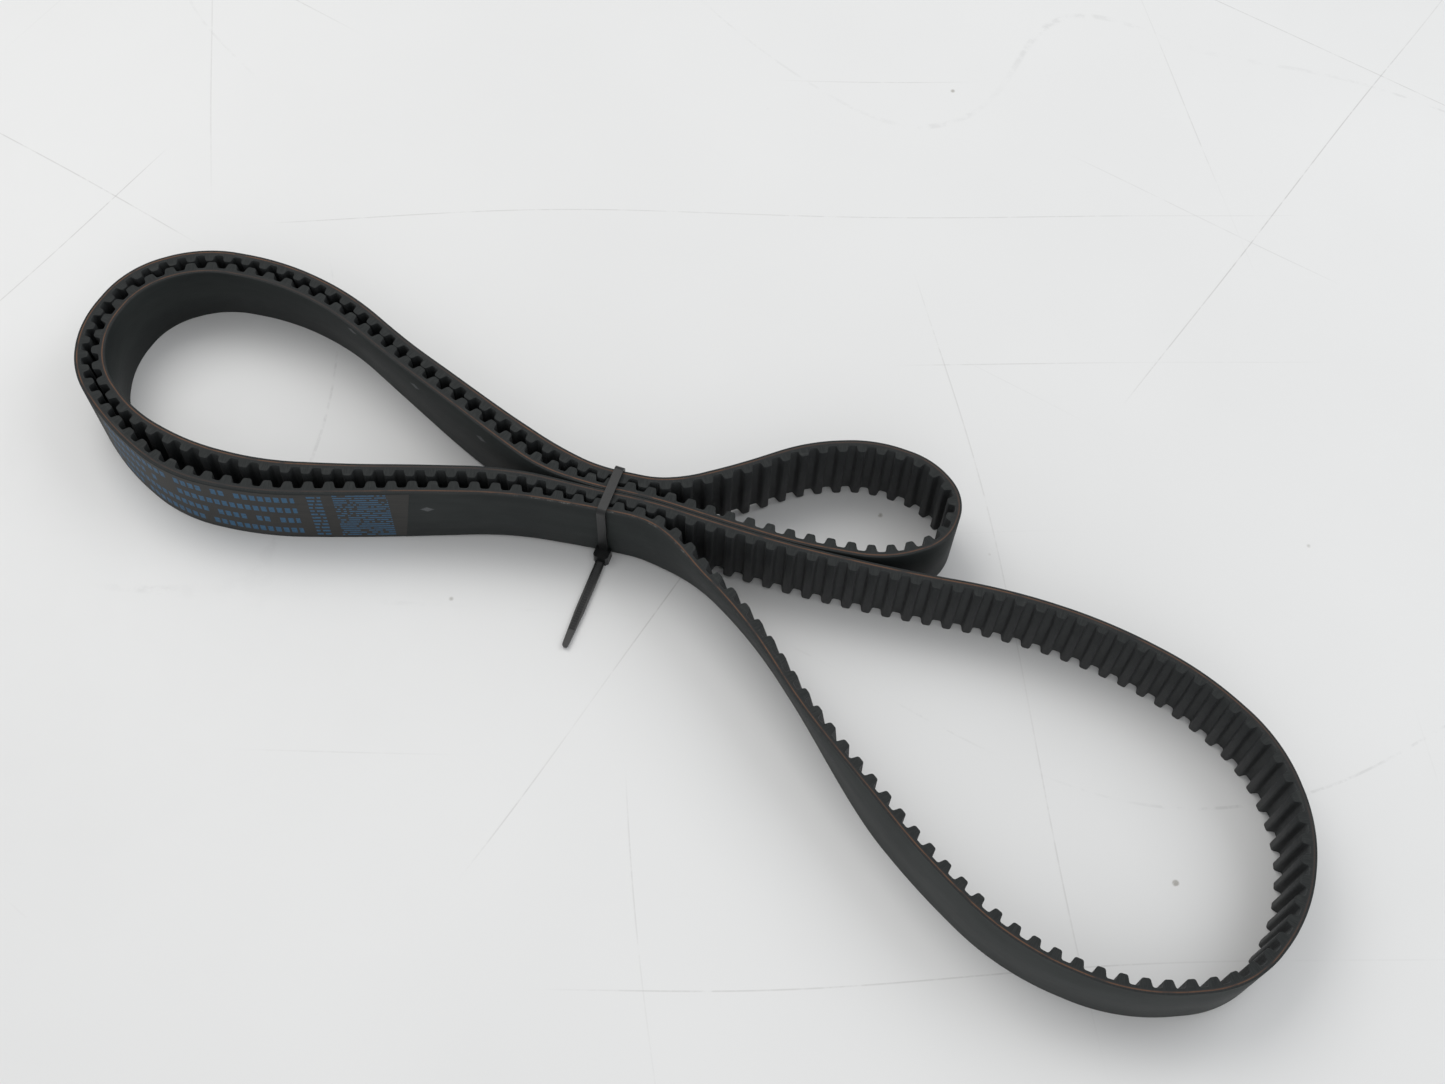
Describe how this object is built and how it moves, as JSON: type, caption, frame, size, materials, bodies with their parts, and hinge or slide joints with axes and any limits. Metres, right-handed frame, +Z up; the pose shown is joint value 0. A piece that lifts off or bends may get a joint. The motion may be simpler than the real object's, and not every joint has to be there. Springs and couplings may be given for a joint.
{
  "type": "timing belt",
  "caption": "Closed rubber timing belt with trapezoid teeth, doubled over into loops and held at its waist by a cable tie.",
  "frame": {"origin": "middle of the overall box, level with the underside of the cable tie's head", "axes": "+Z up along the belt's width, +X along the bundle from the left loop to the large loop, +Y away from the side where the tie's head is"},
  "size_m": [0.4754, 0.2904, 0.0356],
  "materials": {
    "back_rubber": "matte, finely ground",
    "cord": "twisted glass fibre with a brown adhesion coat",
    "tooth_rubber": "matte, faced with black woven fabric",
    "printed_band": "thin printed film",
    "nylon": "smooth moulded nylon"
  },
  "bodies": {
    "belt": {"back_rubber": "back_rubber", "tension_cord_01": "cord", "tension_cord_02": "cord", "tension_cord_03": "cord", "tension_cord_04": "cord", "tension_cord_05": "cord", "tension_cord_06": "cord", "tension_cord_07": "cord", "tension_cord_08": "cord", "tension_cord_09": "cord", "tension_cord_10": "cord", "tension_cord_11": "cord", "tension_cord_12": "cord", "tension_cord_13": "cord", "tension_cord_14": "cord", "tension_cord_15": "cord", "tension_cord_16": "cord", "tension_cord_17": "cord", "tooth_rubber": "tooth_rubber", "printed_band": "printed_band", "cable_tie": "nylon"},
    "pawl": {"tie_pawl": "nylon"}
  },
  "joints": [
    {"name": "pawl_hinge", "type": "hinge", "parent": "belt", "child": "pawl", "pos_m": [-0.02299, 0.02531, 0.004], "axis": [-0.9613, 0.2756, 0], "range_deg": [0, 12], "stiffness_Nm_per_rad": 0.0002}
  ]
}
